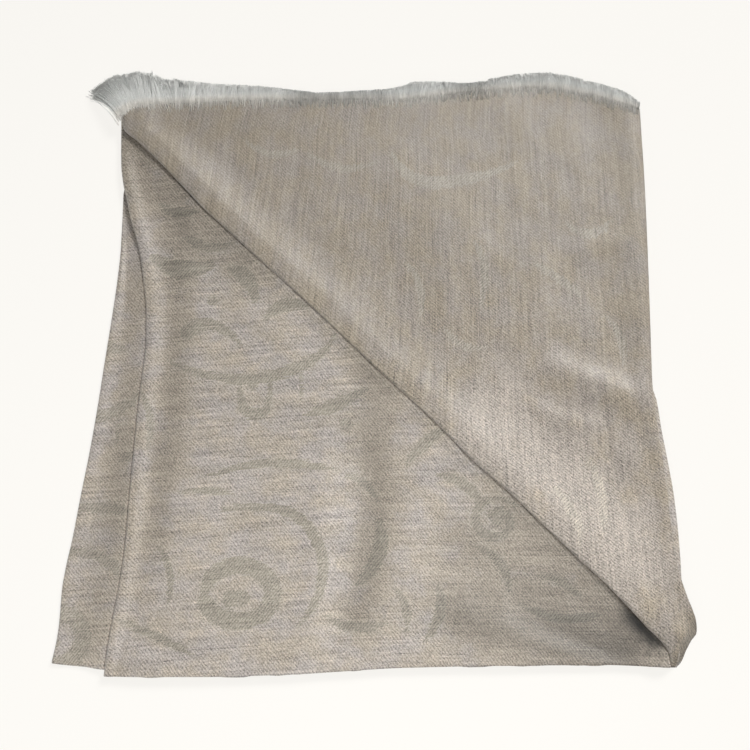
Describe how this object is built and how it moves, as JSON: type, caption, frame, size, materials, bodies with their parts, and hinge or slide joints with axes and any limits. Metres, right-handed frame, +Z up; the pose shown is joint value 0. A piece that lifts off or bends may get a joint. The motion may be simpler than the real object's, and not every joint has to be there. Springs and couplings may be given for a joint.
{
  "type": "pashmina shawl",
  "caption": "Soft woven pashmina shawl in beige with a tone-on-tone scroll figure, folded square with one corner turned back to show its eyelash fringe",
  "frame": {"origin": "the middle of the outline on the surface that the folded shawl lies on, at the middle of the bounding box's bottom face", "axes": "+Z up off the surface, +Y toward the fringed far edge, +X to the right"},
  "size_m": [0.5728, 0.5732, 0.023],
  "materials": {
    "turned_back_cloth": "soft twill with a dull sheen",
    "inner_cloth": "soft twill with a dull sheen",
    "panel_cloth": "soft figured twill with a dull sheen",
    "fold_cloth": "soft twill with a dull sheen",
    "stack_cloth": "soft twill with a dull sheen",
    "fringe_yarn": "loose fine yarn"
  },
  "bodies": {
    "root": {"turned_back_corner": "turned_back_cloth", "layer_under_corner": "inner_cloth", "main_panel": "panel_cloth", "lower_fold": "fold_cloth", "hidden_layers": "stack_cloth", "fringe_upper_ply": "fringe_yarn", "fringe_lower_ply": "fringe_yarn"}
  },
  "joints": []
}
